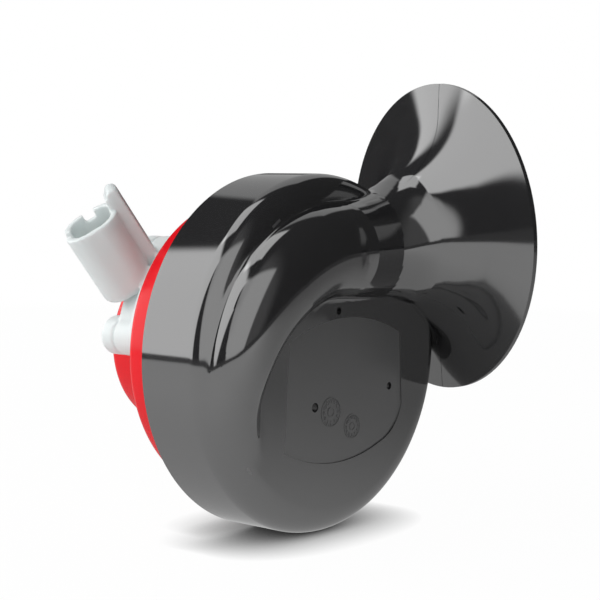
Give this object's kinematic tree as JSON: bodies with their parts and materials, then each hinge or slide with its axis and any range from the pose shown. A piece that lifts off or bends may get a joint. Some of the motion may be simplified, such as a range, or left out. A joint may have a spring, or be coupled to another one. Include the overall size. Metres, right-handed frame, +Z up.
{
  "type": "car horn",
  "caption": "Electric snail horn: round sound box with a spiral trumpet and flared bell, red steel can behind, two-pole plug socket and a threaded mounting stud.",
  "frame": {"origin": "on the horn's axis at the outer face of the core nut, where a bracket seats on the stud", "axes": "+Y back along the mounting stud, -Y towards the plain front face, +X towards the mouth of the trumpet, +Z up"},
  "size_m": [0.1, 0.1089, 0.1112],
  "materials": {
    "black_shell": "gloss moulded",
    "black_inner": "matt moulded",
    "gasket_rubber": "matt",
    "spring_steel": "rolled sheet",
    "red_paint": "gloss enamel",
    "plated_steel": "zinc plated",
    "white_nylon": "milky moulded",
    "copper_wire": "enamelled wire",
    "contact_metal": "polished",
    "insulator": "laminate",
    "seal_compound": "matt",
    "terminal_brass": "tinned",
    "resistor_body": "matt"
  },
  "bodies": {
    "horn": {"drum_shell": "black_shell", "trumpet_cover": "black_shell", "duct_floor": "black_inner", "front_gasket": "gasket_rubber", "diaphragm": "spring_steel", "rear_gasket": "gasket_rubber", "steel_can": "red_paint", "retaining_ring": "plated_steel", "pole_core": "plated_steel", "core_nut": "plated_steel", "bobbin": "white_nylon", "coil_winding": "copper_wire", "contact_arm": "plated_steel", "fixed_contact": "contact_metal", "moving_contact": "contact_metal", "contact_spring": "spring_steel", "upper_insulator": "insulator", "lower_insulator": "insulator", "contact_bracket": "plated_steel", "stack_rivets": "plated_steel", "adjusting_screw": "plated_steel", "adjuster_seal": "seal_compound", "connector_housing": "white_nylon", "terminal_live": "terminal_brass", "terminal_earth": "terminal_brass", "suppression_resistor": "resistor_body", "boss_rivets": "plated_steel"},
    "armature_group": {"armature": "plated_steel", "diaphragm_washer": "plated_steel", "armature_rivet": "plated_steel"}
  },
  "joints": [
    {"name": "armature_stroke", "type": "slide", "parent": "horn", "child": "armature_group", "axis": [0, 1, 0], "range_m": [-0.0003, 0.0005], "stiffness_N_per_m": 5000, "deforming": ["diaphragm", "contact_spring"]}
  ]
}
